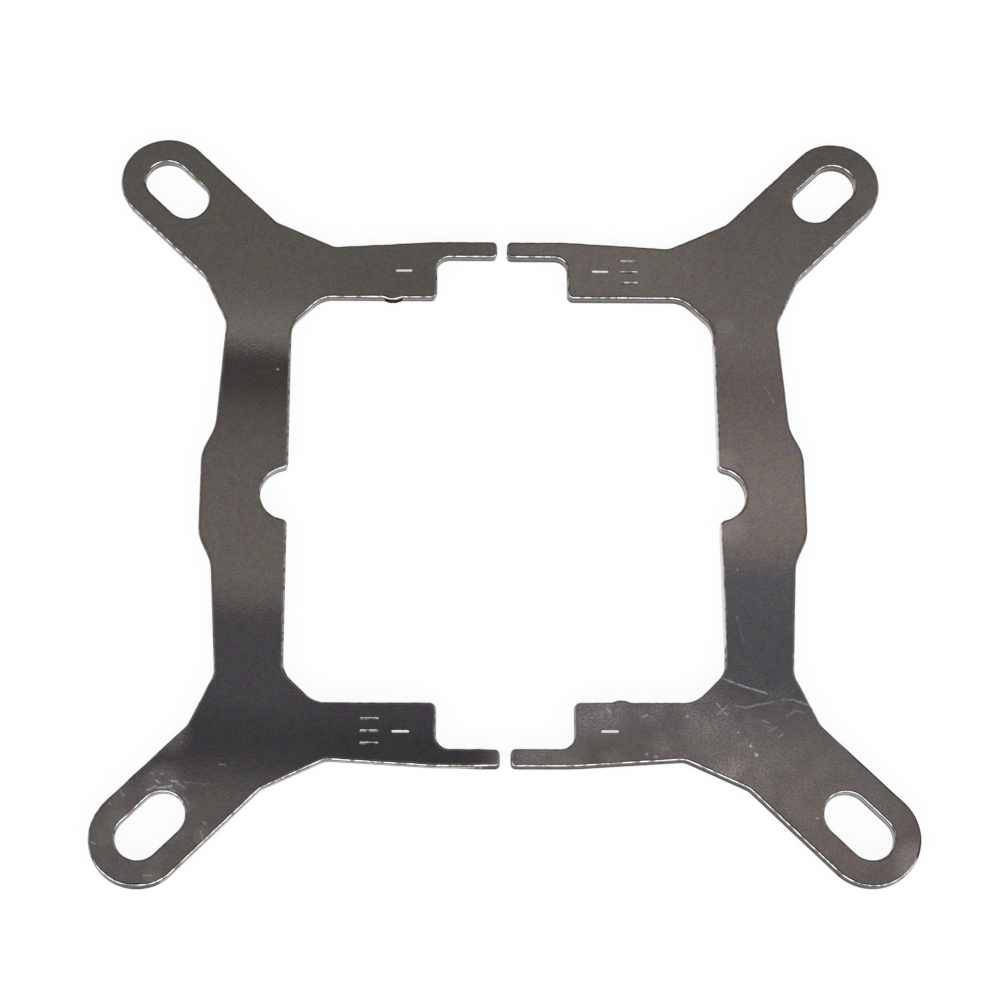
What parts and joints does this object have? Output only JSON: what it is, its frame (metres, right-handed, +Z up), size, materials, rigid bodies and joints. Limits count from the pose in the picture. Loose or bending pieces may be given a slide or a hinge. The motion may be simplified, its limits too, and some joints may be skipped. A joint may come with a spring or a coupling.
{
  "type": "cpu cooler mounting bracket",
  "caption": "Flat stamped steel bracket in two facing halves that frames a square pump block, with slotted screw ears on its outer corners.",
  "frame": {"origin": "centre of the bracket, on its underside", "axes": "+Z up through the sheet, +X from the left plate to the right plate, +Y along the spines"},
  "size_m": [0.091, 0.091, 0.0015],
  "materials": {
    "plated_steel": "dark nickel plating on smooth rolled sheet, with a bright rolled rim"
  },
  "bodies": {
    "root": {"left_plate": "plated_steel", "right_plate": "plated_steel"}
  },
  "joints": []
}
